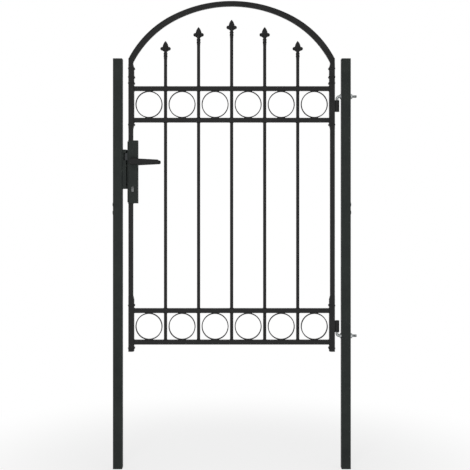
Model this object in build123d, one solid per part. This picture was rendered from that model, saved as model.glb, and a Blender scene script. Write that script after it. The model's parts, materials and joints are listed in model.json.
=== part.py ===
from build123d import *
import os
from math import asin, cos, hypot, pi, radians, sin, tan

# Steel garden gate: an arched leaf of square tube, round bars with spear heads and
# rings between paired rails, hung between two square posts.
# +X to the right, +Y away from the viewer, +Z up, millimetres. The origin is the
# middle of the hinge post's foot.

# Posts
post_size = 40.0
post_wall = 2.0
post_corner = 3.0
post_top_rise = 116.5
opening_width = 950.0
cap_thickness = 3.0
cap_plug_depth = 15.0
cap_plug_wall = 2.0
plug_clearance = 0.2

# Leaf frame
leaf_bottom = 507.5
hinge_gap = 28.0
latch_gap = 26.0
tube_size = 20.0
tube_wall = 1.5
tube_corner = 2.0
stile_tail = 29.5
band_height = 117.0
field_height = 807.5
leg_rise = 119.5
arch_rise = 250.5
crown_depth = 22.0
mitre_drop = 16.0
crown_half_angle = 27.5
arch_foot_angle = 62.75
foot_plug_depth = 12.0
foot_plug_flange = 1.5

# Bars, spear heads and rings
bar_diameter = 14.0
bar_hole_clearance = 0.2
ring_side_clearance = 5.0
middle_spear_rise = 289.9
spear_fall = 32.0
spear_fall_power = 1.53
spear_length = 79.2
shank_radius = 7.6
collar_radius = 8.7
collar_height = 5.5
collar_rises = [12.5, 24.0]
waist_radius = 6.9
lobe_rise = 45.4
lobe_radius = 7.6
lobe_span = 45.0
lobe_thickness = 9.0
lobe_round = 2.2
lobe_web = 6.0
lobe_flare = 13.0
point_height = 33.0
point_half_width = 13.4
point_swell = 3.4
point_thickness = 11.0
point_edge = 1.6
ring_wall = 4.0
ring_depth = 12.0

# Sleeves round the stiles
sleeve_inner_wall = 4.0
sleeve_face_wall = 1.0
sleeve_taper = 16.0
bead_height = 9.0
bead_inner_reach = 3.5
bead_outer_reach = 1.4
bead_face_reach = 1.0
bead_round = 2.6
upper_sleeve_rise = 97.0
upper_sleeve_drop = 27.5
lower_sleeve_rise = 54.0
top_rail_bead_rises = [13.2, 39.6, 77.0]
upper_rail_bead_drop = 10.0
lower_rail_bead_rise = 13.0
bottom_rail_bead_drop = 15.5

# Hinges
barrel_diameter = 20.0
barrel_length = 50.0
upper_barrel_rise = 26.5
lower_barrel_rise = 34.0
hook_diameter = 12.0
pin_diameter = 10.0
pin_clearance = 0.15
pin_depth = 46.0
shoulder_gap = 0.3
shoulder_length = 6.0
bend_radius = 10.0
rod_overhang = 27.0
rod_hole_clearance = 0.25
nut_flats = 19.0
inner_nut_height = 6.0
outer_nut_height = 8.0
thread_clearance = 0.05

# Lock
case_drop = 78.5
case_height = 273.0
case_width = 41.5
case_depth = 31.0
case_wall = 2.5
case_corner = 1.5
forend_thickness = 4.0
forend_width = 24.0
forend_end_margin = 4.0
pivot_inset = 19.5
pivot_rise = 180.3
spindle_size = 8.0
spindle_clearance = 0.4
latch_rise = 203.0
latch_height = 30.0
latch_depth = 13.0
latch_reach = 11.0
latch_tail = 24.0
latch_clearance = 0.3
deadbolt_rise = 112.0
deadbolt_height = 48.0
deadbolt_depth = 12.0
deadbolt_tail = 24.0
cylinder_rise = 61.5
cylinder_width = 10.0
cylinder_height = 23.0
cylinder_proud = 3.0
cylinder_clearance = 0.2
keyhole_rise = 5.0
keyhole_height = 5.5
keyhole_width = 1.4
keyhole_depth = 12.0

# Lever handles
lever_length = 116.0
lever_hub_diameter = 27.5
lever_tip_height = 16.0
lever_gap = 0.3
lever_base_height = 8.0
lever_neck_diameter = 19.0
lever_reach = 50.0
lever_blade_thickness = 11.0
lever_tip_set_back = 7.0
lever_round = 3.5
lever_tip_round = 6.0

# Keeper on the latch post
keeper_rise = 62.5
keeper_height = 171.0
keeper_clearance = 5.2
keeper_front = 14.0
stop_gap = 1.0
stop_thickness = 4.0
lever_clearance = 5.0
strike_floor = 5.8
strike_margin = 1.5
bolt_pocket_depth = 13.6

# Places that follow from the sizes above
latch_post_x = -(opening_width + post_size)
leaf_right = -post_size / 2 - hinge_gap
leaf_left = latch_post_x + post_size / 2 + latch_gap
leaf_width = leaf_right - leaf_left
leaf_middle = (leaf_left + leaf_right) / 2
stile_offset = (leaf_width - tube_size) / 2
bottom_rail_z = leaf_bottom + stile_tail
lower_rail_z = bottom_rail_z + tube_size + band_height
upper_rail_z = lower_rail_z + tube_size + field_height
top_rail_z = upper_rail_z + tube_size + band_height
top_rail_top = top_rail_z + tube_size
mitre_z = top_rail_top + leg_rise
post_height = top_rail_top + post_top_rise
rail_half_length = leaf_width / 2 - tube_size - sleeve_inner_wall
ring_diameter = band_height
narrowest_bay = ring_diameter + 2 * ring_side_clearance
bar_count = int((2 * rail_half_length + bar_diameter) // (narrowest_bay + bar_diameter)) - 1
bay_width = (2 * rail_half_length - bar_count * bar_diameter) / (bar_count + 1)
bar_pitch = bay_width + bar_diameter
ring_radius = ring_diameter / 2
hinge_x = leaf_right + barrel_diameter / 2
upper_barrel_bottom = upper_rail_z + tube_size + upper_barrel_rise
lower_barrel_bottom = bottom_rail_z + tube_size + lower_barrel_rise
case_left = leaf_left
case_top = upper_rail_z - case_drop
case_bottom = case_top - case_height
forend_left = case_left - forend_thickness
pivot_x = case_left + pivot_inset
pivot_z = case_bottom + pivot_rise
latch_z = case_bottom + latch_rise
deadbolt_z = case_bottom + deadbolt_rise
cylinder_z = case_bottom + cylinder_rise
keeper_left = latch_post_x + post_size / 2
keeper_right = forend_left - keeper_clearance
keeper_bottom = case_bottom + keeper_rise
keeper_back = case_depth / 2 + stop_gap
stop_right = pivot_x - lever_hub_diameter / 2 - lever_clearance


def block(low, high):
    """Box between two corners."""
    size = [b - a for a, b in zip(low, high)]
    middle = [(a + b) / 2 for a, b in zip(low, high)]
    return Pos(*middle) * Box(*size)


def upright(x, y, z, radius, height):
    """Vertical cylinder that stands on z."""
    return Pos(x, y, z + height / 2) * Cylinder(radius, height)


def across_depth(x, z, radius, front, back):
    """Cylinder along Y between two depths."""
    return Pos(x, (front + back) / 2, z) * Rot(90, 0, 0) * Cylinder(radius, back - front)


def tube_section(size, wall, corner):
    """Square tube's section, with rounded outer corners."""
    inner = size - 2 * wall
    return RectangleRounded(size, size, corner) - Rectangle(inner, inner)


def upright_tube(x, low, high, size, wall, corner):
    """Square tube standing between two heights."""
    return Pos(x, 0, low) * extrude(tube_section(size, wall, corner), high - low)


def bar_x(index):
    """Middle of a bar, counted from the latch side."""
    return leaf_middle + (index - (bar_count - 1) / 2) * bar_pitch


def bay_x(index):
    """Middle of a bay between bars, counted from the latch side."""
    return bar_x(index) - bar_pitch / 2


def spear_tip_z(index):
    """Height of a spear's tip. The tips fall away from the middle one, under the arch."""
    steps = abs(bar_x(index) - leaf_middle) / bar_pitch
    return top_rail_top + middle_spear_rise - spear_fall * steps ** spear_fall_power


def make_post(x):
    return upright_tube(x, 0, post_height, post_size, post_wall, post_corner)


def make_post_cap(x):
    """Cap whose hollow plug sits in the tube."""
    plug = post_size - 2 * post_wall - 2 * plug_clearance
    lid = extrude(RectangleRounded(post_size, post_size, post_corner), cap_thickness)
    lid = chamfer(lid.faces().sort_by(Axis.Z)[-1].edges(), 0.8)
    hollow = plug - 2 * cap_plug_wall
    corner = post_corner - post_wall
    ring = RectangleRounded(plug, plug, corner) - RectangleRounded(hollow, hollow, corner / 2)
    skirt = Pos(0, 0, -cap_plug_depth) * extrude(ring, cap_plug_depth)
    return Pos(x, 0, post_height) * (lid + skirt)


def make_foot_plug(x):
    """Plug that closes a stile's lower end."""
    core = tube_size - 2 * tube_wall - 2 * plug_clearance
    flange = extrude(RectangleRounded(tube_size, tube_size, tube_corner), -foot_plug_flange)
    flange = chamfer(flange.faces().sort_by(Axis.Z)[0].edges(), foot_plug_flange / 2)
    return Pos(x, 0, leaf_bottom) * (flange + extrude(Rectangle(core, core), foot_plug_depth))


def arch_radii(half_width, rise):
    """Crown and shoulder radii of three tangent arcs with a given half width and rise."""
    crown = radians(crown_half_angle)
    foot = radians(arch_foot_angle)
    a, b = sin(crown), sin(foot) - sin(crown)
    c, d = 1 - cos(crown), cos(crown) - cos(foot)
    span = a * d - b * c
    return (half_width * d - b * rise) / span, (a * rise - half_width * c) / span


def mitre_plane(side):
    """Plane of the cut where a stile meets the arch; it faces the stile."""
    corner = (leaf_middle + side * leaf_width / 2, 0, mitre_z)
    return Plane(origin=corner, z_dir=(side * mitre_drop, 0, -tube_size))


def arch_edge(half_width, foot_z, top_z, shift):
    """One edge of the arch from left to right: three tangent arcs whose radii are changed
    by a shift, with straight ends that run past the mitres."""
    crown_radius, shoulder_radius = arch_radii(half_width, top_z - foot_z)
    crown = radians(crown_half_angle)
    foot = radians(arch_foot_angle)
    crown_z = top_z - crown_radius
    reach = crown_radius - shoulder_radius
    shoulder_x, shoulder_z = reach * sin(crown), crown_z + reach * cos(crown)

    def on_arc(x, z, radius, angle):
        turn = radius + shift
        return Vector(leaf_middle + x + turn * sin(angle), 0, z + turn * cos(angle))

    half = (crown + foot) / 2
    left_foot = on_arc(-shoulder_x, shoulder_z, shoulder_radius, -foot)
    left_half = on_arc(-shoulder_x, shoulder_z, shoulder_radius, -half)
    left_join = on_arc(0, crown_z, crown_radius, -crown)
    top = on_arc(0, crown_z, crown_radius, 0)
    right_join = on_arc(0, crown_z, crown_radius, crown)
    right_half = on_arc(shoulder_x, shoulder_z, shoulder_radius, half)
    right_foot = on_arc(shoulder_x, shoulder_z, shoulder_radius, foot)
    left_end = left_foot - Vector(cos(foot), 0, sin(foot)) * 2 * tube_size
    right_end = right_foot + Vector(cos(foot), 0, -sin(foot)) * 2 * tube_size
    return [
        Line(left_end, left_foot),
        ThreePointArc(left_foot, left_half, left_join),
        ThreePointArc(left_join, top, right_join),
        ThreePointArc(right_join, right_half, right_foot),
        Line(right_foot, right_end),
    ]


def arch_body(inset):
    """Arch between its outer and inner edges, both moved into the tube by an inset."""
    top = mitre_z + arch_rise
    outer = arch_edge(leaf_width / 2, mitre_z, top, -inset)
    inner = arch_edge(
        leaf_width / 2 - tube_size, mitre_z - mitre_drop, top - crown_depth, inset
    )
    ends = [Line(outer[0] @ 0, inner[0] @ 0), Line(outer[-1] @ 1, inner[-1] @ 1)]
    return extrude(make_face(Wire(outer + inner + ends)), tube_size / 2 - inset, both=True)


def make_arch():
    """Bent tube, deepest at its feet, mitred onto both stiles."""
    bow = arch_body(0)
    long_edges = bow.edges().filter_by(lambda e: abs(e.tangent_at(0).Y) < 0.5)
    long_edges = long_edges.filter_by(lambda e: e.length > 2 * tube_size - 1)
    bow = fillet(long_edges, tube_corner) - arch_body(tube_wall)
    for side in (-1, 1):
        bow = split(bow, mitre_plane(side), keep=Keep.BOTTOM)
    return bow


def make_stile(side, low, high=None):
    """Stile between two heights, or up to the arch's mitre."""
    x = leaf_middle + side * stile_offset
    if high is not None:
        return upright_tube(x, low, high, tube_size, tube_wall, tube_corner)
    tall = upright_tube(x, low, mitre_z + tube_size, tube_size, tube_wall, tube_corner)
    return split(tall, mitre_plane(side), keep=Keep.TOP)


def make_rail(z, bars_end_here=False):
    """Rail tube, drilled for the bars unless they stand on it."""
    section = tube_section(tube_size, tube_wall, tube_corner)
    rail = Pos(leaf_middle - rail_half_length, 0, z + tube_size / 2) * Rot(0, 90, 0) * extrude(
        section, 2 * rail_half_length
    )
    if bars_end_here:
        return rail
    hole = bar_diameter / 2 + bar_hole_clearance
    for index in range(bar_count):
        rail -= upright(bar_x(index), 0, z - 1, hole, tube_size + 2)
    return rail


def make_bar(index):
    """Bar from the bottom rail's upper face to the spear head welded on its end."""
    low = bottom_rail_z + tube_size
    return upright(bar_x(index), 0, low, bar_diameter / 2, spear_tip_z(index) - spear_length - low)


def spear_shank():
    """Round shank with two collars and a waist under the lobes, turned about its axis."""
    foot = bar_diameter / 2
    half = collar_height / 2
    low, high = collar_rises
    edges = [Line((0, 0), (foot, 0))]
    edges.append(Line((foot, 0), (shank_radius, low - half)))
    edges.append(ThreePointArc(
        (shank_radius, low - half), (collar_radius, low), (shank_radius, low + half)
    ))
    edges.append(Line((shank_radius, low + half), (shank_radius, high - half)))
    edges.append(ThreePointArc(
        (shank_radius, high - half), (collar_radius, high), (waist_radius, high + half)
    ))
    edges += [
        Line((waist_radius, high + half), (waist_radius, lobe_rise)),
        Line((waist_radius, lobe_rise), (0, lobe_rise)),
        Line((0, lobe_rise), (0, 0)),
    ]
    return revolve(Plane.XZ * make_face(Wire(edges)), Axis.Z)


def leaf_outline(half_width, swell, base=0.0):
    """Leaf shape from the spear's lobes up to its tip, swollen outwards on both sides."""
    low = spear_length - point_height
    chord = hypot(half_width - base, point_height)
    x = (half_width + base) / 2 + swell * point_height / chord
    z = low + point_height / 2 + swell * (half_width - base) / chord
    return make_face(Wire([
        Line((-half_width, low), (half_width, low)),
        ThreePointArc((half_width, low), (x, z), (base, spear_length)),
        *([Line((base, spear_length), (-base, spear_length))] if base else []),
        ThreePointArc((-base, spear_length), (-x, z), (-half_width, low)),
    ]))


def leaf_point():
    """Leaf-shaped point with a ridge down its front and back."""
    reach, ridge, edge = point_half_width + 1, point_thickness / 2, point_edge / 2
    low = spear_length - point_height
    ridged = Polyline(
        (-reach, -edge), (0, -ridge), (reach, -edge), (reach, edge), (0, ridge), (-reach, edge),
        close=True,
    )
    prism = Pos(0, 0, low) * extrude(make_face(ridged), point_height)
    front = extrude(Plane.XZ * leaf_outline(point_half_width, point_swell), reach, both=True)
    side = extrude(Plane.YZ * leaf_outline(ridge, point_edge, edge), reach, both=True)
    return prism & front & side


def make_spear(index):
    """Cast spear head: a shank with collars, a waist, two side lobes and a leaf point."""
    offset = lobe_span / 2 - lobe_radius
    lobe = Rot(90, 0, 0) * Cylinder(lobe_radius, lobe_thickness)
    lobe = fillet(lobe.edges().filter_by(GeomType.CIRCLE), lobe_round)
    arms = Polyline(
        (-waist_radius + 0.5, lobe_rise - lobe_flare),
        (-offset, lobe_rise - lobe_radius + 0.6), (-offset, lobe_rise + lobe_radius - 0.6),
        (offset, lobe_rise + lobe_radius - 0.6), (offset, lobe_rise - lobe_radius + 0.6),
        (waist_radius - 0.5, lobe_rise - lobe_flare),
        close=True,
    )
    head = spear_shank() + extrude(Plane.XZ * make_face(arms), lobe_web / 2, both=True)
    head += Pos(-offset, 0, lobe_rise) * lobe
    head += Pos(offset, 0, lobe_rise) * lobe
    head += leaf_point()
    return Pos(bar_x(index), 0, spear_tip_z(index) - spear_length) * head


def make_rings(z):
    """One ring in each bay, touching the rails above and below."""
    rings = []
    for index in range(bar_count + 1):
        hoop = Cylinder(ring_radius, ring_depth) - Cylinder(ring_radius - ring_wall, ring_depth)
        rings.append(Pos(bay_x(index), 0, z + ring_radius) * Rot(90, 0, 0) * hoop)
    return Compound(children=rings)


def make_sleeve(side, low, high, beads, low_taper=sleeve_taper):
    """Pressed sleeve on a stile's front, back and inner face, with beads round it."""
    outer = leaf_middle + side * leaf_width / 2
    inner = outer - side * (tube_size + sleeve_inner_wall)
    tube_inner = outer - side * tube_size
    half_depth = tube_size / 2 + sleeve_face_wall
    foot = [(tube_inner, low), (inner, low + low_taper)] if low_taper else [(inner, low)]
    outline = Polyline(
        (outer, low), *foot, (inner, high - sleeve_taper), (tube_inner, high), (outer, high),
        close=True,
    )
    sleeve = extrude(Plane.XZ * make_face(outline), half_depth, both=True)
    for z in beads:
        reach = sleeve_inner_wall + bead_inner_reach
        x_low, x_high = sorted((outer + side * bead_outer_reach, tube_inner - side * reach))
        depth = half_depth + bead_face_reach
        bead = block((x_low, -depth, z - bead_height / 2), (x_high, depth, z + bead_height / 2))
        sleeve += fillet(bead.edges().filter_by(Axis.Z, reverse=True), bead_round)
    x_low, x_high = sorted((outer, tube_inner))
    half = tube_size / 2
    return sleeve - block((x_low, -half, low - 1), (x_high, half, high + 1))


def make_barrel(bottom):
    """Hinge barrel, open at both ends."""
    bore = pin_diameter / 2 + pin_clearance
    body = upright(hinge_x, 0, bottom, barrel_diameter / 2, barrel_length)
    return body - upright(hinge_x, 0, bottom - 1, bore, barrel_length + 2)


def rod_z(bottom, up):
    """Height of a hinge hook's rod, above an upper barrel or below a lower one."""
    reach = shoulder_gap + shoulder_length + bend_radius
    return bottom + barrel_length + reach if up else bottom - reach


def make_hook(bottom, up):
    """Bent hinge hook: a pin in the barrel, a shoulder, a bend and a rod through the post."""
    sign = 1 if up else -1
    face = bottom + barrel_length if up else bottom
    z = rod_z(bottom, up)
    shoulder = face + sign * shoulder_gap
    bend_z = z - sign * bend_radius
    end_x = post_size / 2 + rod_overhang
    path = Wire([
        Line((hinge_x, 0, shoulder), (hinge_x, 0, bend_z)),
        ThreePointArc(
            (hinge_x, 0, bend_z),
            (
                hinge_x + bend_radius * (1 - cos(pi / 4)), 0,
                bend_z + sign * bend_radius * sin(pi / 4),
            ),
            (hinge_x + bend_radius, 0, z),
        ),
        Line((hinge_x + bend_radius, 0, z), (end_x, 0, z)),
    ])
    section = Plane(origin=(hinge_x, 0, shoulder), z_dir=(0, 0, sign)) * Circle(hook_diameter / 2)
    hook = sweep(section, path)
    hook = chamfer(hook.faces().sort_by(Axis.X)[-1].edges(), 1.0)
    low, high = sorted((shoulder, shoulder - sign * pin_depth))
    return hook + upright(hinge_x, 0, low, pin_diameter / 2, high - low)


def make_nuts(bottom, up):
    """Nuts that clamp a hinge hook's rod to the post's two sides."""
    z = rod_z(bottom, up)
    nuts = []
    places = (
        (-post_size / 2 - inner_nut_height, inner_nut_height),
        (post_size / 2, outer_nut_height),
    )
    for x, height in places:
        profile = RegularPolygon(nut_flats / 2, 6, major_radius=False)
        profile -= Circle(hook_diameter / 2 + thread_clearance)
        nuts.append(Pos(x, 0, z) * Rot(0, 90, 0) * extrude(profile, height))
    return Compound(children=nuts)


def drilled_hinge_post():
    post = make_post(0)
    hole = hook_diameter / 2 + rod_hole_clearance
    for bottom, up in ((upper_barrel_bottom, True), (lower_barrel_bottom, False)):
        post -= Pos(0, 0, rod_z(bottom, up)) * Rot(0, 90, 0) * Cylinder(hole, post_size + 2)
    return post


def cylinder_profile(grow):
    """Front view of the lock cylinder: upright, with round ends."""
    return SlotOverall(cylinder_height + 2 * grow, cylinder_width + 2 * grow, rotation=90)


def make_cylinder():
    """Key cylinder that runs through the case and stands proud on both sides."""
    half = case_depth / 2 + cylinder_proud
    body = Plane.XZ * extrude(cylinder_profile(0), half, both=True)
    for face in (-1, 1):
        slot = Box(keyhole_width, 2 * keyhole_depth, keyhole_height)
        body -= Pos(0, face * half, keyhole_rise) * slot
    return Pos(pivot_x, 0, cylinder_z) * body


def make_case():
    """Box-shaped lock case, cut for the bolts, the spindle and the cylinder."""
    low = (case_left, -case_depth / 2, case_bottom)
    high = (case_left + case_width, case_depth / 2, case_top)
    case = block(low, high)
    case = fillet(case.edges().filter_by(Axis.Z), case_corner)
    case -= block([a + case_wall for a in low], [a - case_wall for a in high])
    case -= bolt_hole(latch_z, latch_height, latch_depth)
    case -= bolt_hole(deadbolt_z, deadbolt_height, deadbolt_depth)
    spindle = spindle_size / 2 * 2 ** 0.5 + spindle_clearance
    case -= across_depth(pivot_x, pivot_z, spindle, -case_depth, case_depth)
    gap = Plane.XZ * extrude(cylinder_profile(cylinder_clearance), case_depth, both=True)
    return case - Pos(pivot_x, 0, cylinder_z) * gap


def bolt_hole(z, height, depth):
    """Slot for a bolt through the forend and the case's side."""
    half_height = height / 2 + latch_clearance
    half_depth = depth / 2 + latch_clearance
    return block(
        (forend_left - 1, -half_depth, z - half_height),
        (case_left + case_wall + 1, half_depth, z + half_height),
    )


def make_forend():
    """Rounded strip on the case's edge, slotted for both bolts."""
    low, high = case_bottom + forend_end_margin, case_top - forend_end_margin
    strip = block((forend_left, -forend_width / 2, low), (case_left, forend_width / 2, high))
    front = strip.faces().sort_by(Axis.X)[0].edges()
    strip = fillet(front, forend_thickness * 0.4)
    strip -= bolt_hole(latch_z, latch_height, latch_depth)
    return strip - bolt_hole(deadbolt_z, deadbolt_height, deadbolt_depth)


def make_latch_bolt():
    """Sprung latch: a nose bevelled on the closing side and a tail inside the case."""
    nose = forend_left - latch_reach
    low = (nose, -latch_depth / 2, latch_z - latch_height / 2)
    high = (case_left + latch_tail, latch_depth / 2, latch_z + latch_height / 2)
    bolt = block(low, high)
    bevel = Polyline(
        (nose - 1, latch_depth), (nose - 1, -latch_depth / 2 + 3),
        (nose, -latch_depth / 2 + 3), (nose + latch_reach - 2, latch_depth / 2),
        (nose + latch_reach - 2, latch_depth), close=True,
    )
    cut = Pos(0, 0, latch_z - latch_height) * extrude(make_face(bevel), 2 * latch_height)
    return bolt - cut


def make_deadbolt():
    """Deadbolt, drawn back so that its end lies just inside the forend."""
    low = (forend_left + 0.5, -deadbolt_depth / 2, deadbolt_z - deadbolt_height / 2)
    high = (case_left + deadbolt_tail, deadbolt_depth / 2, deadbolt_z + deadbolt_height / 2)
    return block(low, high)


def lever_outline():
    """Front view of a lever's grip: a round hub that tapers to a blunt tip."""
    hub, tip = lever_hub_diameter / 2, lever_tip_height / 2
    slope = asin((hub - tip) / lever_length)
    near_x, near_z = hub * sin(slope), hub * cos(slope)
    turn = lever_tip_round
    corner_x = lever_length - turn
    corner_z = near_z - (corner_x - near_x) * tan(slope) - turn / cos(slope)
    far_x, far_z = corner_x + turn * sin(slope), corner_z + turn * cos(slope)
    lean = (pi / 2 - slope) / 2
    mid_x, mid_z = corner_x + turn * cos(lean), corner_z + turn * sin(lean)
    return make_face(Wire([
        ThreePointArc((near_x, near_z), (-hub, 0), (near_x, -near_z)),
        Line((near_x, -near_z), (far_x, -far_z)),
        ThreePointArc((far_x, -far_z), (mid_x, -mid_z), (lever_length, -corner_z)),
        Line((lever_length, -corner_z), (lever_length, corner_z)),
        ThreePointArc((lever_length, corner_z), (mid_x, mid_z), (far_x, far_z)),
        Line((far_x, far_z), (near_x, near_z)),
    ]))


def make_lever(face):
    """Lever on the front (-1) or back (1) of the case: base, neck and tapered grip."""
    start = case_depth / 2 + lever_gap
    reach = start + lever_reach
    base = across_depth(0, 0, lever_hub_diameter / 2, start, start + lever_base_height)
    rim = base.edges().filter_by(GeomType.CIRCLE).sort_by(Axis.Y)[-1]
    base = fillet(rim, 2.5)
    neck = across_depth(0, 0, lever_neck_diameter / 2, start, reach - 2)
    slab = extrude(Plane.XZ * lever_outline(), reach + 1, both=True)
    inside = reach - lever_blade_thickness
    tip = lever_tip_set_back
    hub = lever_hub_diameter / 2
    far = lever_length + 2
    plan = Wire([
        Line((-hub - 2, reach), (0, reach)),
        TangentArc((0, reach), (far, reach - tip), tangent=(1, 0)),
        Line((far, reach - tip), (far, inside - tip + 2)),
        TangentArc((0, inside), (far, inside - tip + 2), tangent=(1, 0)),
        Line((0, inside), (-hub - 2, inside)),
        Line((-hub - 2, inside), (-hub - 2, reach)),
    ])
    grip = slab & extrude(make_face(plan), lever_length, both=True)
    grip = fillet(grip.edges().filter_by(lambda e: abs(e.tangent_at(0).Y) < 0.9), lever_round)
    lever = base + neck + grip
    lever -= spindle_block(start - 1, reach - lever_blade_thickness)
    if face < 0:
        lever = mirror(lever, Plane.XZ)
    return Pos(pivot_x, 0, pivot_z) * lever


def spindle_block(front, back):
    half = spindle_size / 2 + lever_gap / 3
    return block((-half, front, -half), (half, back, half))


def make_spindle():
    half = spindle_size / 2
    reach = case_depth / 2 + lever_gap + lever_reach - lever_blade_thickness - 1
    return Pos(pivot_x, 0, pivot_z) * block((-half, -reach, -half), (half, reach, half))


def make_keeper():
    """Keeper on the latch post: a body with a strike for the latch, a pocket for the
    deadbolt and a stop that the leaf closes against."""
    top = keeper_bottom + keeper_height
    body = block((keeper_left, -keeper_front, keeper_bottom), (keeper_right, keeper_back, top))
    stop = block(
        (keeper_left, keeper_back, keeper_bottom),
        (stop_right, keeper_back + stop_thickness, top),
    )
    keeper = body + stop
    half = latch_height / 2 + strike_margin
    keeper -= block(
        (keeper_left + strike_floor, -keeper_front - 1, latch_z - half),
        (keeper_right + 1, latch_depth / 2 + strike_margin, latch_z + half),
    )
    half = deadbolt_height / 2 + strike_margin
    depth = deadbolt_depth / 2 + strike_margin
    return keeper - block(
        (keeper_right - bolt_pocket_depth, -depth, deadbolt_z - half),
        (keeper_right + 1, depth, deadbolt_z + half),
    )


def build_nodes():
    """Every piece of the gate by name."""
    nodes = {
        "latch_post": make_post(latch_post_x),
        "hinge_post": drilled_hinge_post(),
        "latch_post_cap": make_post_cap(latch_post_x),
        "hinge_post_cap": make_post_cap(0),
        "keeper": make_keeper(),
        "upper_hinge_hook": make_hook(upper_barrel_bottom, True),
        "lower_hinge_hook": make_hook(lower_barrel_bottom, False),
        "upper_hinge_nuts": make_nuts(upper_barrel_bottom, True),
        "lower_hinge_nuts": make_nuts(lower_barrel_bottom, False),
        "arch": make_arch(),
        "upper_latch_stile": make_stile(-1, case_top),
        "lower_latch_stile": make_stile(-1, leaf_bottom, case_bottom),
        "hinge_stile": make_stile(1, leaf_bottom),
        "stile_plugs": Compound(children=[
            make_foot_plug(leaf_middle - stile_offset),
            make_foot_plug(leaf_middle + stile_offset),
        ]),
        "top_rail": make_rail(top_rail_z),
        "upper_rail": make_rail(upper_rail_z),
        "lower_rail": make_rail(lower_rail_z),
        "bottom_rail": make_rail(bottom_rail_z, bars_end_here=True),
        "upper_rings": make_rings(upper_rail_z + tube_size),
        "lower_rings": make_rings(bottom_rail_z + tube_size),
        "upper_hinge_barrel": make_barrel(upper_barrel_bottom),
        "lower_hinge_barrel": make_barrel(lower_barrel_bottom),
        "lock_case": make_case(),
        "lock_forend": make_forend(),
        "lock_cylinder": make_cylinder(),
        "deadbolt": make_deadbolt(),
        "front_lever": make_lever(-1),
        "back_lever": make_lever(1),
        "lever_spindle": make_spindle(),
        "latch_bolt": make_latch_bolt(),
    }
    for index in range(bar_count):
        nodes[f"bar_{index + 1}"] = make_bar(index)
        nodes[f"spear_{index + 1}"] = make_spear(index)
    upper_beads = [upper_rail_z - upper_rail_bead_drop]
    upper_beads += [top_rail_top + rise for rise in top_rail_bead_rises]
    lower_beads = [
        bottom_rail_z - bottom_rail_bead_drop,
        lower_rail_z + tube_size + lower_rail_bead_rise,
    ]
    for side, name in ((-1, "latch"), (1, "hinge")):
        nodes[f"upper_{name}_sleeve"] = make_sleeve(
            side, upper_rail_z - upper_sleeve_drop, top_rail_top + upper_sleeve_rise, upper_beads
        )
        nodes[f"lower_{name}_sleeve"] = make_sleeve(
            side,
            leaf_bottom,
            lower_rail_z + tube_size + lower_sleeve_rise,
            lower_beads,
            low_taper=0,
        )
    return nodes


os.makedirs("parts", exist_ok=True)
for node_name, shape in build_nodes().items():
    export_step(shape, f"parts/{node_name}.step")
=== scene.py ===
import json
from math import asin, atan2, cos, hypot, pi, radians, sin, sqrt

import bmesh
import bpy
from mathutils import Matrix, Vector


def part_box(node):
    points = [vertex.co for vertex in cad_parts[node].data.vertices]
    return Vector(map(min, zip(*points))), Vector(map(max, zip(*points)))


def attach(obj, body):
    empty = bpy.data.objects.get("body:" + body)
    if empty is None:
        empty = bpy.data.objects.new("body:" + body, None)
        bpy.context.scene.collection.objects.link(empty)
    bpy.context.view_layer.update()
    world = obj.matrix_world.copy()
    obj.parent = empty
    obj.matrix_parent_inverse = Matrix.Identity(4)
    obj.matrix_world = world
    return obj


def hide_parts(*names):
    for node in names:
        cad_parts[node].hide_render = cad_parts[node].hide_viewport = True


# Steel garden gate: welds, threads, nuts, screws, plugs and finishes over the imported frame.
# Sizes written in millimetres become metres through mm. The places of the camera and the
# lights, the lights' sizes and the floor's spread are in metres.
mm = 0.001

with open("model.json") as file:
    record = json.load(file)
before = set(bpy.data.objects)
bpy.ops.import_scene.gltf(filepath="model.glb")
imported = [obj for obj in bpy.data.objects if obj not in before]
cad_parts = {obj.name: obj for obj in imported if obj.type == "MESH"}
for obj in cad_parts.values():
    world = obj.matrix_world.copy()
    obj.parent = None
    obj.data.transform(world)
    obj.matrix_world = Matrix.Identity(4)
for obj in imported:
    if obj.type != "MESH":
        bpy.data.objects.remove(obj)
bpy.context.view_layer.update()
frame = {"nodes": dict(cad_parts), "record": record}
nodes = frame["nodes"]
scene = bpy.context.scene

# Camera, with the photograph's framing in pixels
camera_x = -0.495
camera_height = 1.182
camera_distance = 4.0
frame_pixels = 470
focal_pixels = 922.3
principal_column = 231.865
horizon_row = 196.0

# Sizes and numbers that the frame was built with
tube_size = 20 * mm
bar_radius = 7 * mm
bar_count = 5
rings_in_a_band = 6
rod_radius = 6 * mm
pin_radius = 5 * mm
shoulder_length = 6 * mm
bend_radius = 10 * mm
post_half = 20 * mm
nut_flats = 19 * mm
inner_nut_height = 6 * mm
outer_nut_height = 8 * mm
keeper_clearance = 5.2 * mm

# Sizes of what is added here
side_plug_heights = (1145 * mm, 1110 * mm)
thread_pitch = 1.75 * mm
thread_depth = 0.95 * mm

# Faces that meet at a sharper angle than this keep a crisp edge
crisp_angle = radians(40)
# Points closer than this become one point
merge_distance = 0.001 * mm


def linear(code):
    """Colour written as sRGB hex, turned to linear RGBA."""
    levels = [int(code[i:i + 2], 16) / 255 for i in (0, 2, 4)]
    return [v / 12.92 if v <= 0.04045 else ((v + 0.055) / 1.055) ** 2.4 for v in levels] + [1.0]


def add_node(tree, kind, settings=None, links=None):
    """Adds a node, sets its sockets or properties, and links inputs from (node, output) pairs."""
    node = tree.nodes.new(kind)
    for name, value in (settings or {}).items():
        if name in node.inputs:
            node.inputs[name].default_value = value
        else:
            setattr(node, name, value)
    for name, (source, output) in (links or {}).items():
        tree.links.new(source.outputs[output], node.inputs[name])
    return node


def empty_material(name):
    """Material with an empty node tree and its output node."""
    material = bpy.data.materials.new(name)
    material.use_nodes = True
    tree = material.node_tree
    tree.nodes.clear()
    return material, tree, tree.nodes.new("ShaderNodeOutputMaterial")


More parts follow.
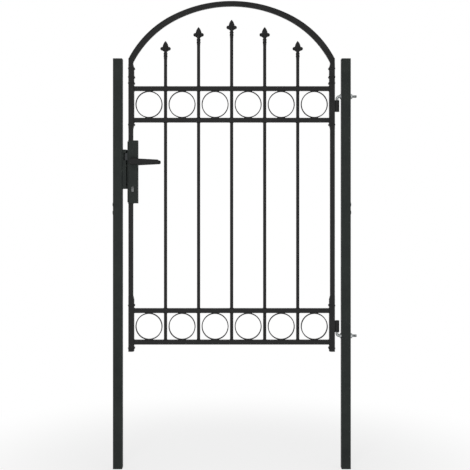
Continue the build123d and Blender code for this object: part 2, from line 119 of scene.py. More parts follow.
def per_size(size):
    """Noise scale whose features are about this many millimetres across."""
    return 1000 / size


def powder_coat(name, dark, light, roughness, grain, grain_height, gloss=0.08):
    """Baked powder coat: an even colour with slight clouding and the fine pebbled skin
    that the melted grains leave, which breaks up every reflection. The grain and its height
    are in millimetres."""
    cloud_size, speck_size, wave_size = 55, grain * 2.2, grain * 7
    material, tree, output = empty_material(name)
    place = add_node(tree, "ShaderNodeTexCoord")
    clouds = add_node(tree, "ShaderNodeTexNoise", {"Scale": per_size(cloud_size), "Detail": 3.0},
                      {"Vector": (place, "Object")})
    specks = add_node(tree, "ShaderNodeTexNoise", {"Scale": per_size(speck_size), "Detail": 2.0},
                      {"Vector": (place, "Object")})
    blend = add_node(tree, "ShaderNodeMix", {"data_type": "FLOAT", "Factor": 0.45},
                     {"A": (clouds, "Fac"), "B": (specks, "Fac")})
    colour = add_node(tree, "ShaderNodeValToRGB", {}, {"Fac": (blend, "Result")})
    colour.color_ramp.elements[0].position = 0.36
    colour.color_ramp.elements[0].color = linear(dark)
    colour.color_ramp.elements[1].position = 0.64
    colour.color_ramp.elements[1].color = linear(light)
    sheen_map = add_node(tree, "ShaderNodeMapRange",
                         {"From Min": 0.35, "From Max": 0.65,
                          "To Min": roughness - 0.05, "To Max": roughness + 0.06},
                         {"Value": (clouds, "Fac")})
    pebbles = add_node(tree, "ShaderNodeTexNoise",
                       {"Scale": per_size(grain), "Detail": 3.0, "Roughness": 0.6},
                       {"Vector": (place, "Object")})
    peel = add_node(tree, "ShaderNodeTexNoise", {"Scale": per_size(wave_size), "Detail": 1.0},
                    {"Vector": (place, "Object")})
    wave = add_node(tree, "ShaderNodeBump", {"Strength": 0.25, "Distance": grain_height * 2 * mm},
                    {"Height": (peel, "Fac")})
    skin = add_node(tree, "ShaderNodeBump", {"Strength": 0.5, "Distance": grain_height * mm},
                    {"Height": (pebbles, "Fac"), "Normal": (wave, "Normal")})
    shader = add_node(tree, "ShaderNodeBsdfPrincipled", {"IOR": 1.5, "Specular IOR Level": gloss},
                      {"Base Color": (colour, "Color"), "Roughness": (sheen_map, "Result"),
                       "Normal": (skin, "Normal")})
    tree.links.new(shader.outputs["BSDF"], output.inputs["Surface"])
    return material


def moulded_plastic(name, dark, light, roughness):
    """Moulded polyethylene: a dull spark-eroded surface with slightly shinier rubbed spots.
    The mould's spark marks are about 0.2 mm, too fine to show, so they are drawn coarser."""
    spot_size, mark_size, mark_depth = 14, 0.9, 0.06
    material, tree, output = empty_material(name)
    place = add_node(tree, "ShaderNodeTexCoord")
    spots = add_node(tree, "ShaderNodeTexNoise", {"Scale": per_size(spot_size), "Detail": 4.0},
                     {"Vector": (place, "Object")})
    colour = add_node(tree, "ShaderNodeValToRGB", {}, {"Fac": (spots, "Fac")})
    colour.color_ramp.elements[0].position = 0.35
    colour.color_ramp.elements[0].color = linear(dark)
    colour.color_ramp.elements[1].position = 0.65
    colour.color_ramp.elements[1].color = linear(light)
    rub = add_node(tree, "ShaderNodeMapRange",
                   {"From Min": 0.35, "From Max": 0.65,
                    "To Min": roughness - 0.06, "To Max": roughness + 0.06},
                   {"Value": (spots, "Fac")})
    marks = add_node(tree, "ShaderNodeTexVoronoi", {"Scale": per_size(mark_size)},
                     {"Vector": (place, "Object")})
    skin = add_node(tree, "ShaderNodeBump", {"Strength": 0.3, "Distance": mark_depth * mm},
                    {"Height": (marks, "Distance")})
    shader = add_node(tree, "ShaderNodeBsdfPrincipled", {"IOR": 1.5, "Specular IOR Level": 0.3},
                      {"Base Color": (colour, "Color"), "Roughness": (rub, "Result"),
                       "Normal": (skin, "Normal")})
    tree.links.new(shader.outputs["BSDF"], output.inputs["Surface"])
    return material


def plated_metal(name, dark, light, roughness, cloud_size, pattern_turn=(0, 0, 0)):
    """Electroplated steel or brass: metal with faint clouds, sized in millimetres, and fine
    scratches along X from drawing and sliding. Real scratches are hairlines, so they are
    drawn coarser. The turn gives a finish a pattern of its own."""
    scratch_width, scratch_depth, scratch_scale = 0.5, 0.03, (0.06, 1.0, 1.0)
    material, tree, output = empty_material(name)
    place = add_node(tree, "ShaderNodeTexCoord")
    clouds = add_node(tree, "ShaderNodeTexNoise",
                      {"Scale": per_size(cloud_size), "Detail": 5.0, "Roughness": 0.65},
                      {"Vector": (place, "Object")})
    colour = add_node(tree, "ShaderNodeValToRGB", {}, {"Fac": (clouds, "Fac")})
    colour.color_ramp.elements[0].position = 0.3
    colour.color_ramp.elements[0].color = linear(dark)
    colour.color_ramp.elements[1].position = 0.7
    colour.color_ramp.elements[1].color = linear(light)
    drawn = add_node(tree, "ShaderNodeMapping", {"Rotation": pattern_turn, "Scale": scratch_scale},
                     {"Vector": (place, "Object")})
    lines = add_node(tree, "ShaderNodeTexNoise", {"Scale": per_size(scratch_width), "Detail": 2.0},
                     {"Vector": (drawn, "Vector")})
    dull = add_node(tree, "ShaderNodeMapRange",
                    {"From Min": 0.3, "From Max": 0.7,
                     "To Min": roughness - 0.08, "To Max": roughness + 0.1},
                    {"Value": (clouds, "Fac")})
    skin = add_node(tree, "ShaderNodeBump", {"Strength": 0.25, "Distance": scratch_depth * mm},
                    {"Height": (lines, "Fac")})
    shader = add_node(tree, "ShaderNodeBsdfPrincipled", {"Metallic": 1.0},
                      {"Base Color": (colour, "Color"), "Roughness": (dull, "Result"),
                       "Normal": (skin, "Normal")})
    tree.links.new(shader.outputs["BSDF"], output.inputs["Surface"])
    return material


# The grain of a real powder coat is about 0.3 mm, too fine to show, so it is drawn coarser.
finishes = {
    # Posts, keeper and lock case: a dark grey with a touch of green and the coarsest grain
    "post_coating": powder_coat("powder_coated_post", dark="212524", light="2C302E",
                                roughness=0.55, grain=1.1, grain_height=0.14),
    # Leaf: a neutral near-black
    "leaf_coating": powder_coat("powder_coated_leaf", dark="1E1E1E", light="292929",
                                roughness=0.5, grain=0.9, grain_height=0.12),
    # Caps and plugs: a little blacker than the posts, with a soft shine and a finer grain
    "cap_plastic": moulded_plastic("moulded_polyethylene", dark="1F2020", light="272828",
                                   roughness=0.55),
    # Hinge hooks, nuts and keeper bolts: grey metal that has lost its first shine
    "zinc": plated_metal("weathered_zinc_plate", dark="7C7F7F", light="A4A7A7",
                         roughness=0.4, cloud_size=6),
    # Key cylinder and spindle: a darker grey metal that still stands out from the lock case
    "lock_metal": plated_metal("dulled_nickel_plate", dark="3F4040", light="575858",
                               roughness=0.42, cloud_size=9, pattern_turn=(0, radians(90), 0)),
    # Latch, deadbolt and small screws: nearly black metal. On the latch the near-black is partly
    # painted shade, the shade of the narrow gap by the keeper where it sits
    "bolt_metal": plated_metal("steel_darkened_as_painted_shade", dark="242526", light="323334",
                               roughness=0.45, cloud_size=7),
    # Levers: a smooth near-black with hardly any grain
    "lever_coating": powder_coat("satin_baked_lever", dark="232323", light="2A2A2A",
                                 roughness=0.5, grain=0.7, grain_height=0.05, gloss=0.05),
}
for part in frame["record"]["subparts"]:
    obj = nodes[part["node"]]
    obj.data.materials.clear()
    obj.data.materials.append(finishes[part["material_slot"]])


def new_piece(name, bm, slot, body, stands_for=()):
    """Turns a bmesh into a smooth-shaded object that rides on a body."""
    bmesh.ops.recalc_face_normals(bm, faces=bm.faces)
    mesh = bpy.data.meshes.new(name)
    bm.to_mesh(mesh)
    bm.free()
    for face in mesh.polygons:
        face.use_smooth = True
    obj = bpy.data.objects.new(name, mesh)
    scene.collection.objects.link(obj)
    obj.data.materials.append(finishes[slot])
    mesh.set_sharp_from_angle(angle=crisp_angle)
    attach(obj, body)
    if stands_for:
        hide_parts(*stands_for)


def stamp(bm, shape, place):
    """Adds a copy of a shape to a mesh at a place."""
    before = len(bm.verts)
    bm.from_mesh(shape)
    bm.verts.ensure_lookup_table()
    bmesh.ops.transform(bm, matrix=place, verts=bm.verts[before:])


def as_shape(bm, name):
    """Keeps a finished bmesh as a mesh that stamp can copy."""
    shape = bpy.data.meshes.new(name)
    bm.to_mesh(shape)
    bm.free()
    return shape


def along(axis, centre=(0, 0, 0), turn=0.0):
    """Placement that turns a shape's Z axis to a direction, at a centre."""
    aim = Vector((0, 0, 1)).rotation_difference(Vector(axis)).to_matrix().to_4x4()
    return Matrix.Translation(centre) @ aim @ Matrix.Rotation(turn, 4, "Z")


def loop_stack(bm, loops, segments=48, ends=True, round_trip=False):
    """Skins loops of (radius, height) about the Z axis. A loop with a number of sides as its
    third value is a polygon, and its radius is the one to its flats."""
    rings = []
    for loop in loops:
        radius, height = loop[:2]
        made = bmesh.ops.create_circle(bm, segments=segments, radius=radius)
        verts = made["verts"]
        if len(loop) > 2:
            sector = 2 * pi / loop[2]
            # Each point moves out from the circle to the polygon's side
            for v in verts:
                angle = atan2(v.co.y, v.co.x)
                lean = (angle + sector / 2) % sector - sector / 2
                v.co *= 1 / cos(lean)
        bmesh.ops.translate(bm, vec=(0, 0, height), verts=verts)
        rings.append(list({e for v in verts for e in v.link_edges}))
    pairs = list(zip(rings, rings[1:]))
    if round_trip:
        pairs.append((rings[-1], rings[0]))
    for low, high in pairs:
        bmesh.ops.bridge_loops(bm, edges=low + high)
    if ends and not round_trip:
        for ring in (rings[0], rings[-1]):
            bmesh.ops.contextual_create(bm, geom=ring)
    return rings


# Welds

# Rows of points that draw one ripple of a bead
rows_per_ripple = 3


def round_weld(reach, bead, name, ripples=22, square=None):
    """Weld bead closed about the Z axis. With square, its path follows a square tube with
    rounded corners in place of a circle."""
    ripple_depth, unevenness, uneven_turns, corner_reach = 0.16, 0.12, 3, 1.3
    bm = bmesh.new()
    start = bmesh.ops.create_circle(
        bm, segments=8, radius=bead,
        matrix=Matrix.Translation((reach, 0, 0)) @ Matrix.Rotation(pi / 2, 4, "X"),
    )
    ring = start["verts"] + list({e for v in start["verts"] for e in v.link_edges})
    bmesh.ops.spin(bm, geom=ring, cent=(0, 0, 0), axis=(0, 0, 1), angle=2 * pi,
                   steps=ripples * rows_per_ripple, use_merge=True)
    for v in bm.verts:
        angle = atan2(v.co.y, v.co.x)
        off = hypot(v.co.x, v.co.y) - reach
        swell = (1 + ripple_depth * sin(angle * ripples)
                 + unevenness * sin(angle * uneven_turns + ripples))
        path = reach
        if square:
            flat = square / max(abs(cos(angle)), abs(sin(angle)))
            path = min(flat, square * corner_reach)
        radius = path + off * swell
        v.co.x, v.co.y = radius * cos(angle), radius * sin(angle)
        v.co.z *= swell
    return as_shape(bm, name)


def straight_weld(length, wide, tall, name, ripple_pitch=1.7 * mm):
    """Weld bead that lies along Z, with rounded ends and ripples."""
    # The uneven rate is in radians a metre, which gives one swelling about every 15 mm
    ripple_depth, unevenness, uneven_rate = 0.13, 0.08, 410
    fewest_rows, end_power, tip_spread = 12, 6, 1e-6
    bm = bmesh.new()
    rows = max(fewest_rows, int(length / ripple_pitch) * rows_per_ripple)
    bmesh.ops.create_uvsphere(bm, u_segments=10, v_segments=rows, radius=1.0)
    for v in bm.verts:
        share = asin(max(-1.0, min(1.0, v.co.z))) / (pi / 2)
        spread = hypot(v.co.x, v.co.y)
        z = share * length / 2
        end = sqrt(max(0.0, 1 - abs(share) ** end_power))
        swell = end * (1 + ripple_depth * sin(2 * pi * z / ripple_pitch)
                       + unevenness * sin(z * uneven_rate))
        if spread > tip_spread:
            v.co.x *= wide * swell / spread
            v.co.y *= tall * swell / spread
        v.co.z = z
    return as_shape(bm, name)


def make_bar_welds():
    """A bead round each bar where it meets a rail, and under each spear head. Each bead is
    turned by another angle, so that no two look the same."""
    turn_per_bar, turn_per_height, turn_per_spear = 1.7, 2.3, 1.1
    shape = round_weld(bar_radius + 0.5 * mm, bead=1.7 * mm, name="bar_weld_shape")
    small = round_weld(bar_radius - 0.2 * mm, bead=0.8 * mm, name="spear_weld_shape")
    bm = bmesh.new()
    heights = [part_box("bottom_rail")[1].z]
    for rail in ("lower_rail", "upper_rail", "top_rail"):
        low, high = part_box(rail)
        heights += [low.z, high.z]
    for index in range(1, bar_count + 1):
        low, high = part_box(f"bar_{index}")
        x = (low.x + high.x) / 2
        for count, z in enumerate(heights):
            turn = index * turn_per_bar + count * turn_per_height
            stamp(bm, shape, along((0, 0, 1), (x, 0, z), turn))
        stamp(bm, small, along((0, 0, 1), (x, 0, high.z), index * turn_per_spear))
    new_piece("bar_welds", bm, "leaf_coating", "leaf")


def make_rail_welds():
    """A bead round both ends of each rail, where it meets the sleeves."""
    shape = round_weld(tube_size / 2, bead=1.8 * mm, name="rail_weld_shape", ripples=26,
                       square=tube_size / 2 + 0.3 * mm)
    bm = bmesh.new()
    for count, rail in enumerate(("bottom_rail", "lower_rail", "upper_rail", "top_rail")):
        low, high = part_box(rail)
        z = (low.z + high.z) / 2
        for x in (low.x, high.x):
            stamp(bm, shape, along((1, 0, 0), (x, 0, z), count * pi / 2))
    new_piece("rail_welds", bm, "leaf_coating", "leaf")


def make_ring_welds():
    """Two short beads where each ring touches the rail above, and two at the rail below."""
    from_middle, sink, bead_lean = 10 * mm, 0.6 * mm, 0.07
    shape = straight_weld(length=15 * mm, wide=4.6 * mm, tall=1.5 * mm, name="ring_weld_shape")
    across = Matrix.Rotation(pi / 2, 4, "Z")
    bm = bmesh.new()
    for rings in ("upper_rings", "lower_rings"):
        low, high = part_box(rings)
        radius = (high.z - low.z) / 2
        pitch = (high.x - low.x - 2 * radius) / (rings_in_a_band - 1)
        for index in range(rings_in_a_band):
            x = low.x + radius + index * pitch
            for z, up in ((low.z, 1), (high.z, -1)):
                for side in (-1, 1):
                    place = Matrix.Translation((x + side * from_middle, 0, z + up * sink))
                    lean = Matrix.Rotation(pi / 2 - up * side * bead_lean, 4, "Y")
                    stamp(bm, shape, place @ lean @ across)
    new_piece("ring_welds", bm, "leaf_coating", "leaf")


def make_hinge_welds():
    """Upright beads on both sides of each barrel, where it touches the stile."""
    inset, from_middle = 1.1 * mm, 5.2 * mm
    shape = straight_weld(length=46 * mm, wide=2.6 * mm, tall=2.4 * mm,
                          name="barrel_weld_shape", ripple_pitch=2.2 * mm)
    bm = bmesh.new()
    for barrel in ("upper_hinge_barrel", "lower_hinge_barrel"):
        low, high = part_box(barrel)
        for side in (-1, 1):
            middle = (low.x + inset, side * from_middle, (low.z + high.z) / 2)
            stamp(bm, shape, Matrix.Translation(middle))
    new_piece("barrel_welds", bm, "leaf_coating", "leaf")


def make_case_welds():
    """A bead round the end of each latch stile, above and below the lock case."""
    shape = round_weld(tube_size / 2, bead=1.7 * mm, name="case_weld_shape", ripples=26,
                       square=tube_size / 2 + 0.2 * mm)
    bm = bmesh.new()
    low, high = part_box("lock_case")
    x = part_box("upper_latch_stile")[0].x + tube_size / 2
    for z in (low.z, high.z):
        stamp(bm, shape, along((0, 0, 1), (x, 0, z)))
    new_piece("case_welds", bm, "leaf_coating", "leaf")


def make_mitre_welds():
    """Ground seams along the cuts where both stiles meet the arch, on all four faces."""
    low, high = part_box("arch")
    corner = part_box("hinge_stile")[1].z
    drop = corner - low.z
    short_by, outer_inset, inner_inset = 1 * mm, 0.5 * mm, tube_size - 0.2 * mm
    face = straight_weld(length=hypot(tube_size, drop) - short_by, wide=2.0 * mm,
                         tall=0.55 * mm, name="mitre_weld_shape")
    end = straight_weld(length=17 * mm, wide=1.5 * mm, tall=1.3 * mm, name="mitre_end_shape")
    flat = Matrix.Rotation(pi / 2, 4, "X")
    bm = bmesh.new()
    for side, x in ((-1, low.x), (1, high.x)):
        lean = Matrix.Rotation(side * atan2(tube_size, drop), 4, "Y")
        for y in (-tube_size / 2, tube_size / 2):
            middle = (x - side * tube_size / 2, y, corner - drop / 2)
            stamp(bm, face, Matrix.Translation(middle) @ lean)
        stamp(bm, end, Matrix.Translation((x - side * outer_inset, 0, corner)) @ flat)
        stamp(bm, end, Matrix.Translation((x - side * inner_inset, 0, low.z)) @ flat)
    new_piece("mitre_welds", bm, "leaf_coating", "leaf")


def make_sleeve_welds():
    """Short tack welds that hold the sleeves' free ends to the stiles, front and back."""
    shape = straight_weld(length=8 * mm, wide=1.5 * mm, tall=1.2 * mm, name="tack_shape")
    flat = Matrix.Rotation(pi / 2, 4, "Y")
    face = tube_size / 2 + 0.2 * mm
    bm = bmesh.new()
    for side in ("latch", "hinge"):
        low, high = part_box(f"upper_{side}_sleeve")
        x = (low.x + high.x) / 2
        for z in (low.z, high.z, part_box(f"lower_{side}_sleeve")[1].z):
            for y in (-face, face):
                stamp(bm, shape, Matrix.Translation((x, y, z)) @ flat)
    new_piece("sleeve_tack_welds", bm, "leaf_coating", "leaf")


def make_keeper_welds():
    """Beads where the keeper's body stands on the post: down the front, over and under."""
    pitch, short_by = 2.2 * mm, 8 * mm
    front_inset, end_inset, end_shift = 0.4 * mm, 0.6 * mm, 6 * mm
    low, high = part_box("keeper")
    upright = straight_weld(length=high.z - low.z - short_by, wide=2.2 * mm, tall=2.0 * mm,
                            name="keeper_weld_shape", ripple_pitch=pitch)
    across = straight_weld(length=24 * mm, wide=2.0 * mm, tall=1.8 * mm,
                           name="keeper_end_shape", ripple_pitch=pitch)
    flat = Matrix.Rotation(pi / 2, 4, "X")
    bm = bmesh.new()
    front = (low.x + front_inset, low.y + front_inset, (low.z + high.z) / 2)
    stamp(bm, upright, Matrix.Translation(front))
    for z in (low.z, high.z):
        end = (low.x + end_inset, low.y / 2 + end_shift, z)
        stamp(bm, across, Matrix.Translation(end) @ flat)
    new_piece("keeper_welds", bm, "post_coating", "posts")


def make_casting_seams():
    """Fine raised line round each spear head where the two halves of its mould met."""
    half, rise, foot_share = 0.35 * mm, 0.22 * mm, 3
    bm = bmesh.new()
    for index in range(1, bar_count + 1):
        part = bmesh.new()
        spear = nodes[f"spear_{index}"]
        part.from_mesh(spear.data)
        bmesh.ops.transform(part, matrix=spear.matrix_world, verts=part.verts)
        bmesh.ops.remove_doubles(part, verts=part.verts, dist=merge_distance)
        # A thin slice of the head's skin is kept, on both sides of where the halves met
        for y in (-half, half):
            bmesh.ops.bisect_plane(
                part, geom=part.verts[:] + part.edges[:] + part.faces[:], plane_co=(0, y, 0),
                plane_no=(0, 1, 0), clear_inner=y < 0, clear_outer=y > 0)
        # The slice is raised above the head
        part.normal_update()
        pushes = [(v, Vector((v.normal.x, 0, v.normal.z)).normalized()) for v in part.verts]
        for v, push in pushes:
            v.co += push * rise
        # Its rims run inwards into the head, where they are joined
        rims = [e for e in part.edges if e.is_boundary]
        made = bmesh.ops.extrude_edge_only(part, edges=rims)
        inner = [g for g in made["geom"] if isinstance(g, bmesh.types.BMVert)]
        part.normal_update()
        for v in inner:
            near = [e.other_vert(v) for e in v.link_edges if e.other_vert(v) not in inner]
            push = Vector((near[0].normal.x, 0, near[0].normal.z)).normalized()
            v.co -= push * foot_share * rise
        edges = [g for g in made["geom"] if isinstance(g, bmesh.types.BMEdge)
                 and all(v in inner for v in g.verts)]
        bmesh.ops.bridge_loops(part, edges=edges)
        bmesh.ops.recalc_face_normals(part, faces=part.faces)
        bm.from_mesh(as_shape(part, f"seam_shape_{index}"))
    new_piece("spear_casting_seams", bm, "leaf_coating", "leaf")


# Hinges

def make_hook(name, up):
    """Hinge hook of bent rod: a pin, a shoulder, a quarter bend and a threaded end."""
    tip_chamfer, shoulder_round, bend_steps = 1.2 * mm, 0.4 * mm, 14
    thread_setback, thread_overlap = 4 * mm, 1 * mm
    low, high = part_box(name)
    sign = 1 if up else -1
    middle_x = low.x + rod_radius
    rod_z = high.z - rod_radius if up else low.z + rod_radius
    pin_end = low.z if up else high.z
    shoulder = rod_z - sign * (bend_radius + shoulder_length)
    bend_start = rod_z - sign * bend_radius
    bm = bmesh.new()
    rings = loop_stack(bm, [
        (pin_radius - tip_chamfer, pin_end), (pin_radius, pin_end + sign * tip_chamfer),
        (pin_radius, shoulder - sign * shoulder_round / 2),
        (rod_radius - shoulder_round, shoulder),
        (rod_radius, shoulder + sign * shoulder_round), (rod_radius, bend_start),
    ], segments=40, ends=False)
    bmesh.ops.contextual_create(bm, geom=rings[0])
    bmesh.ops.translate(bm, vec=(middle_x, 0, 0), verts=bm.verts)
    # The bend, swept from the last ring
    last = rings[-1] + list({v for e in rings[-1] for v in e.verts})
    made = bmesh.ops.spin(bm, geom=last, cent=(middle_x + bend_radius, 0, bend_start),
                          axis=(0, sign, 0), angle=pi / 2, steps=bend_steps)
    # The straight run from the bend through the post
    edges = [g for g in made["geom_last"] if isinstance(g, bmesh.types.BMEdge)]
    run = bmesh.ops.extrude_edge_only(bm, edges=edges)
    moved = [g for g in run["geom"] if isinstance(g, bmesh.types.BMVert)]
    thread_start = post_half + thread_setback
    bmesh.ops.translate(bm, vec=(thread_start - (middle_x + bend_radius), 0, 0), verts=moved)
    bmesh.ops.contextual_create(
        bm, geom=[g for g in run["geom"] if isinstance(g, bmesh.types.BMEdge)
                  and all(v in moved for v in g.verts)])
    bmesh.ops.remove_doubles(bm, verts=bm.verts, dist=merge_distance)
    bmesh.ops.recalc_face_normals(bm, faces=bm.faces)
    add_thread(bm, thread_start - thread_overlap, high.x, rod_z)
    new_piece(name + "_threaded", bm, "zinc", "posts", [name])


def add_thread(bm, start, end, z):
    """Helical thread along X, from a profile of one pitch spun about the rod's axis. It is
    spun longer than needed at both ends and then cut off square."""
    crest_drop, end_chamfer, join_distance = 0.02 * mm, 1.2 * mm, 0.01 * mm
    spare_turns, lead_turns, steps = 3, 1.5, 28
    crest, root = rod_radius - crest_drop, rod_radius - thread_depth
    turns = int((end - start) / thread_pitch) + spare_turns
    first = start - lead_turns * thread_pitch
    # Each point is a share of the pitch and a radius
    profile = [(0, root), (0.12, root), (0.46, crest), (0.66, crest), (1.0, root)]
    part = bmesh.new()
    verts = [part.verts.new((first + t * thread_pitch, 0, r)) for t, r in profile]
    edges = [part.edges.new(pair) for pair in zip(verts, verts[1:])]
    bmesh.ops.spin(part, geom=verts + edges, cent=(0, 0, 0), axis=(1, 0, 0),
                   dvec=(thread_pitch / steps, 0, 0), angle=2 * pi * turns, steps=steps * turns)
    bmesh.ops.remove_doubles(part, verts=part.verts, dist=join_distance)
    # Towards the rod's end the crests are cut down at 45 degrees
    for v in part.verts:
        radius = hypot(v.co.y, v.co.z)
        limit = crest - max(0.0, v.co.x - (end - end_chamfer))
        if radius > limit:
            v.co.y *= limit / radius
            v.co.z *= limit / radius
    for x, clear_outer in ((end, True), (start, False)):
        cut = bmesh.ops.bisect_plane(
            part, geom=part.verts[:] + part.edges[:] + part.faces[:], plane_co=(x, 0, 0),
            plane_no=(1, 0, 0), clear_outer=clear_outer, clear_inner=not clear_outer)
        edge = [g for g in cut["geom_cut"] if isinstance(g, bmesh.types.BMEdge)]
        bmesh.ops.contextual_create(part, geom=edge)
    bmesh.ops.translate(part, vec=(0, 0, z), verts=part.verts)
    bmesh.ops.recalc_face_normals(part, faces=part.faces)
    bm.from_mesh(as_shape(part, "thread_shape"))


def nut_shape(height, name):
    """Hexagon nut along Z with both faces chamfered round and a countersunk bore."""
    face_share, face_drop, countersink, bore_clearance = 0.95, 0.315 * mm, 0.7 * mm, 0.05 * mm
    # The corners' chamfer lies at 30 degrees, and this is its tangent
    corner_slope = 0.577
    flat = nut_flats / 2
    face = flat * face_share
    bore = rod_radius + bore_clearance
    bm = bmesh.new()
    loops = [
        (bore + countersink, 0), (face, 0), (flat, face_drop, 6),
        (flat, height - face_drop, 6), (face, height), (bore + countersink, height),
        (bore, height - countersink), (bore, countersink),
    ]
    rings = loop_stack(bm, loops, segments=72, round_trip=True)
    # The sides' rims draw back at the corners, where the chamfer cuts deepest
    for ring, toward in ((rings[2], 1), (rings[3], -1)):
        for v in {v for e in ring for v in e.verts}:
            v.co.z += toward * (hypot(v.co.x, v.co.y) - flat) * corner_slope
    return as_shape(bm, name)


def make_nuts(name, inner, outer):
    """Both nuts of a hinge hook, with corners up and down. The inner one is on the leaf's side
    of the post and the outer one on the far side."""
    corners_up = pi / 6
    low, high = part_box(name)
    z = (low.z + high.z) / 2
    bm = bmesh.new()
    stamp(bm, inner, along((1, 0, 0), (low.x, 0, z), corners_up))
    stamp(bm, outer, along((1, 0, 0), (post_half, 0, z), corners_up))
    new_piece(name + "_chamfered", bm, "zinc", "posts", [name])


# Lock

def screw_shape(radius, proud, socket, name):
    """Screw head along Z with a hexagon socket."""
    seat_depth, edge_share, mouth_share = 0.6 * mm, 0.35, 1.25
    mouth_depth, socket_depth = 0.2 * mm, 1.6 * mm
    bm = bmesh.new()
    loop_stack(bm, [
        (radius, -seat_depth), (radius, proud * edge_share),
        (radius - proud * (1 - edge_share), proud), (socket * mouth_share, proud),
        (socket, proud - mouth_depth, 6), (socket, proud - socket_depth, 6),
    ], segments=36)
    return as_shape(bm, name)


def make_lock_screws():
    """Forend screws, the cylinder's fixing screw and the levers' set screws."""
    forend_margin, spindle_margin, neck_radius = 14 * mm, 20 * mm, 9.5 * mm
    head = screw_shape(3.6 * mm, proud=0.7 * mm, socket=1.5 * mm, name="forend_screw_shape")
    small = screw_shape(2.6 * mm, proud=0.5 * mm, socket=1.1 * mm, name="cylinder_screw_shape")
    grub = screw_shape(2.4 * mm, proud=0.3 * mm, socket=1.1 * mm, name="grub_screw_shape")
    bm = bmesh.new()
    low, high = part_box("lock_forend")
    for z in (low.z + forend_margin, high.z - forend_margin):
        stamp(bm, head, along((-1, 0, 0), (low.x, 0, z)))
    middle = sum(c.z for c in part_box("lock_cylinder")) / 2
    stamp(bm, small, along((-1, 0, 0), (low.x, 0, middle)))
    new_piece("forend_screws", bm, "bolt_metal", "leaf")
    bm = bmesh.new()
    low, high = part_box("lever_spindle")
    x, z = (low.x + high.x) / 2, (low.z + high.z) / 2
    for y in (low.y + spindle_margin, high.y - spindle_margin):
        stamp(bm, grub, along((0, 0, -1), (x, y, z - neck_radius)))
    new_piece("lever_grub_screws", bm, "bolt_metal", "lever_set")


def make_cylinder_detail():
    """Turned plug of the key cylinder: a stepped ring round the keyway on both sides."""
    plug_rise = 5.5 * mm
    low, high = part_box("lock_cylinder")
    x, z = (low.x + high.x) / 2, (low.z + high.z) / 2 + plug_rise
    ring = bmesh.new()
    loop_stack(ring, [
        (4.5 * mm, -0.3 * mm), (4.5 * mm, 0.15 * mm), (4.3 * mm, 0.3 * mm),
        (3.9 * mm, 0.3 * mm), (3.7 * mm, 0.1 * mm), (3.7 * mm, -0.3 * mm),
    ], segments=48, round_trip=True)
    shape = as_shape(ring, "plug_ring_shape")
    bm = bmesh.new()
    for y, face in ((low.y, -1), (high.y, 1)):
        stamp(bm, shape, along((0, face, 0), (x, y, z)))
    new_piece("cylinder_plug_rings", bm, "lock_metal", "leaf")


def make_keeper_bolts():
    """Socket bolts that hold the keeper, on the side that faces the leaf."""
    top_margin, bottom_margin = 7 * mm, 11 * mm
    low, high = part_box("keeper")
    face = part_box("lock_forend")[0].x - keeper_clearance
    between = (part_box("latch_bolt")[0].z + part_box("deadbolt")[1].z) / 2
    head = screw_shape(4.2 * mm, proud=0.6 * mm, socket=2.0 * mm, name="keeper_bolt_shape")
    bm = bmesh.new()
    for z in (high.z - top_margin, between, low.z + bottom_margin):
        stamp(bm, head, along((1, 0, 0), (face, 0, z)))
    new_piece("keeper_bolts", bm, "zinc", "posts")


# Posts

def make_side_plugs():
    """Low domed plugs that close two holes in each post's outer side."""
    dome = bmesh.new()
    loop_stack(dome, [
        (9.6 * mm, -0.3 * mm), (9.6 * mm, 0.0), (10.0 * mm, 0.3 * mm), (10.0 * mm, 1.2 * mm),
        (9.6 * mm, 1.9 * mm), (8.8 * mm, 2.5 * mm), (7.4 * mm, 3.0 * mm), (5.0 * mm, 3.4 * mm),
        (2.4 * mm, 3.6 * mm), (0.8 * mm, 3.65 * mm),
    ], segments=40)
    shape = as_shape(dome, "side_plug_shape")
    bm = bmesh.new()
    outer_sides = ((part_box("latch_post")[0].x, -1), (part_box("hinge_post")[1].x, 1))
    for x, side in outer_sides:
        for z in side_plug_heights:
            stamp(bm, shape, along((side, 0, 0), (x, 0, z)))
    new_piece("post_side_plugs", bm, "cap_plastic", "posts")


make_bar_welds()
make_rail_welds()
make_ring_welds()
make_hinge_welds()
make_case_welds()
make_mitre_welds()
make_sleeve_welds()
make_keeper_welds()
make_casting_seams()
make_hook("upper_hinge_hook", True)
make_hook("lower_hinge_hook", False)
inner_nut = nut_shape(inner_nut_height, "inner_nut_shape")
outer_nut = nut_shape(outer_nut_height, "outer_nut_shape")
make_nuts("upper_hinge_nuts", inner_nut, outer_nut)
make_nuts("lower_hinge_nuts", inner_nut, outer_nut)
make_lock_screws()
make_cylinder_detail()
make_keeper_bolts()
make_side_plugs()


# Stage, light and camera

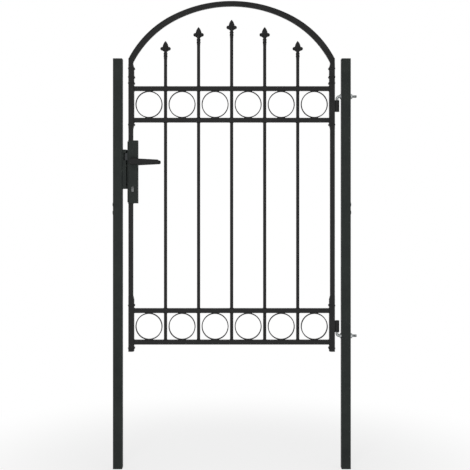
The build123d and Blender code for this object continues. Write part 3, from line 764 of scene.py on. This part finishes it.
def make_floor():
    """Pale floor that turns to the white of the background away from the gate. Near the
    posts' feet it is partly lit and takes their shadow."""
    half_width, white_starts, white_ends, white_share_at_gate = 30.0, 0.5, 1.6, 0.72
    bm = bmesh.new()
    bmesh.ops.create_grid(bm, x_segments=2, y_segments=2, size=half_width)
    mesh = bpy.data.meshes.new("studio_floor")
    bm.to_mesh(mesh)
    bm.free()
    floor = bpy.data.objects.new("studio_floor", mesh)
    scene.collection.objects.link(floor)
    material, tree, output = empty_material("pale_studio_floor")
    place = add_node(tree, "ShaderNodeTexCoord")
    moved = add_node(tree, "ShaderNodeMapping", {"Location": (-camera_x, 0.0, 0.0)},
                     {"Vector": (place, "Object")})
    reach = add_node(tree, "ShaderNodeVectorMath", {"operation": "LENGTH"})
    tree.links.new(moved.outputs["Vector"], reach.inputs[0])
    white_share = add_node(tree, "ShaderNodeMapRange",
                           {"interpolation_type": "SMOOTHSTEP",
                            "From Min": white_starts, "From Max": white_ends,
                            "To Min": white_share_at_gate, "To Max": 1.0},
                           {"Value": (reach, "Value")})
    rays = add_node(tree, "ShaderNodeLightPath")
    seen = add_node(tree, "ShaderNodeMath", {"operation": "MAXIMUM"})
    tree.links.new(rays.outputs["Is Camera Ray"], seen.inputs[0])
    tree.links.new(rays.outputs["Is Glossy Ray"], seen.inputs[1])
    share = add_node(tree, "ShaderNodeMath", {"operation": "MULTIPLY"})
    tree.links.new(seen.outputs["Value"], share.inputs[0])
    tree.links.new(white_share.outputs["Result"], share.inputs[1])
    lit = add_node(tree, "ShaderNodeBsdfDiffuse", {"Color": linear("EDEDED")})
    white = add_node(tree, "ShaderNodeEmission", {"Color": (1, 1, 1, 1), "Strength": 1.0})
    mix = add_node(tree, "ShaderNodeMixShader", {}, {"Fac": (share, "Value")})
    tree.links.new(lit.outputs["BSDF"], mix.inputs[1])
    tree.links.new(white.outputs["Emission"], mix.inputs[2])
    tree.links.new(mix.outputs["Shader"], output.inputs["Surface"])
    mesh.materials.append(material)


def make_world():
    """White for the camera, in reflections and through clear pieces, and softer as a light."""
    light_strength, white_strength = 0.42, 1.0
    world = bpy.data.worlds.new("studio_white")
    scene.world = world
    world.use_nodes = True
    tree = world.node_tree
    tree.nodes.clear()
    rays = add_node(tree, "ShaderNodeLightPath")
    seen = add_node(tree, "ShaderNodeMath", {"operation": "MAXIMUM"})
    tree.links.new(rays.outputs["Is Camera Ray"], seen.inputs[0])
    tree.links.new(rays.outputs["Is Transmission Ray"], seen.inputs[1])
    both = add_node(tree, "ShaderNodeMath", {"operation": "MAXIMUM"})
    tree.links.new(seen.outputs["Value"], both.inputs[0])
    tree.links.new(rays.outputs["Is Glossy Ray"], both.inputs[1])
    strength = add_node(tree, "ShaderNodeMapRange",
                        {"To Min": light_strength, "To Max": white_strength},
                        {"Value": (both, "Value")})
    sky = add_node(tree, "ShaderNodeBackground", {"Color": (1, 1, 1, 1)},
                   {"Strength": (strength, "Result")})
    output = add_node(tree, "ShaderNodeOutputWorld")
    tree.links.new(sky.outputs["Background"], output.inputs["Surface"])


def area_light(name, place, aim, width, height, power):
    """Soft box light that points at a spot."""
    lamp = bpy.data.lights.new(name, "AREA")
    lamp.shape = "RECTANGLE"
    lamp.size, lamp.size_y, lamp.energy = width, height, power
    obj = bpy.data.objects.new(name, lamp)
    scene.collection.objects.link(obj)
    obj.location = place
    obj.rotation_euler = (Vector(aim) - Vector(place)).to_track_quat("-Z", "Y").to_euler()


def make_camera():
    """Level camera in front of the gate, with the photograph's framing as shift."""
    data = bpy.data.cameras.new("front_camera")
    data.sensor_width = 36.0
    data.lens = focal_pixels / frame_pixels * data.sensor_width
    data.shift_x = (frame_pixels / 2 - principal_column) / frame_pixels
    data.shift_y = (horizon_row - frame_pixels / 2) / frame_pixels
    data.clip_end = 200.0
    camera = bpy.data.objects.new("front_camera", data)
    scene.collection.objects.link(camera)
    # The distance is to the front of the leaf's tubes
    camera.location = (camera_x, -(camera_distance + tube_size / 2), camera_height)
    camera.rotation_euler = (pi / 2, 0, 0)
    scene.camera = camera


make_floor()
make_world()
area_light("front_soft_box", place=(-0.7, -4.8, 0.7), aim=(-0.5, 0, 0.7),
           width=1.0, height=1.3, power=76)
area_light("key_soft_box", place=(-1.5, -3.6, 3.0), aim=(-0.5, 0, 0.8),
           width=0.9, height=0.9, power=22)
area_light("fill_soft_box", place=(2.4, -3.0, 0.9), aim=(-0.5, 0, 0.7),
           width=2.4, height=1.6, power=14)
area_light("back_soft_box", place=(-0.4, 3.4, 3.4), aim=(-0.5, 0, 1.1),
           width=3.0, height=1.6, power=35)
make_camera()
scene.view_settings.view_transform = "Standard"
